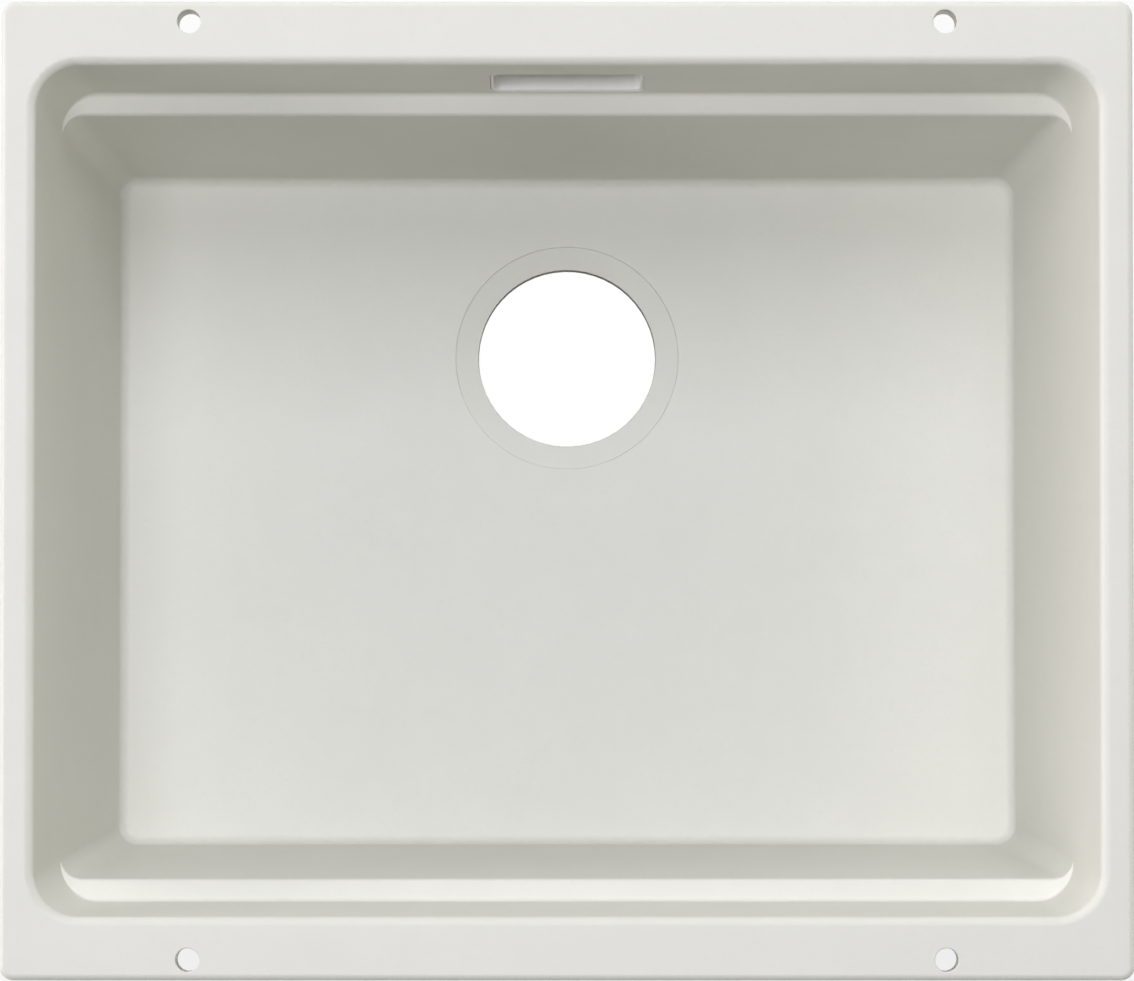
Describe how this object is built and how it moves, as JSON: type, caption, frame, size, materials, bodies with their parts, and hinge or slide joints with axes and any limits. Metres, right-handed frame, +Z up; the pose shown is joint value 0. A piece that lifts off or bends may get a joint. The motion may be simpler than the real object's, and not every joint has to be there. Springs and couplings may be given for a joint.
{
  "type": "undermount kitchen sink",
  "caption": "Single-bowl undermount kitchen sink with inner ledges, an open drain, a rectangular overflow window and a swivelling overflow outlet.",
  "frame": {"origin": "under the middle of the flange outline, on the flat underside of the bowl", "axes": "+X along the sink's length, +Y towards its back wall with the overflow window, +Z up out of the bowl"},
  "size_m": [0.532, 0.46, 0.212],
  "materials": {
    "composite_stone": "matt warm grey-white, fine grain",
    "seal_rubber": "matt black",
    "housing_plastic": "moulded white",
    "nut_plastic": "moulded mid grey",
    "insert_brass": "turned",
    "fixing_steel": "plain stainless"
  },
  "bodies": {
    "sink": {"bowl": "composite_stone", "overflow_gasket": "seal_rubber", "overflow_housing": "housing_plastic", "overflow_inserts": "insert_brass", "overflow_screws": "fixing_steel", "overflow_washers": "fixing_steel", "elbow_retaining_ring": "fixing_steel"},
    "elbow": {"outlet_elbow": "housing_plastic", "elbow_seal": "seal_rubber", "union_seal": "seal_rubber"},
    "nut": {"union_nut": "nut_plastic"}
  },
  "joints": [
    {"name": "elbow_swivel", "type": "hinge", "parent": "sink", "child": "elbow", "pos_m": [0, 0.21574, 0.114], "axis": [0, 0, 1], "range_deg": [-15, 195]},
    {"name": "nut_spin", "type": "hinge", "parent": "elbow", "child": "nut", "pos_m": [0.035, 0.21574, 0.09925], "axis": [1, 0, 0], "continuous": true}
  ]
}
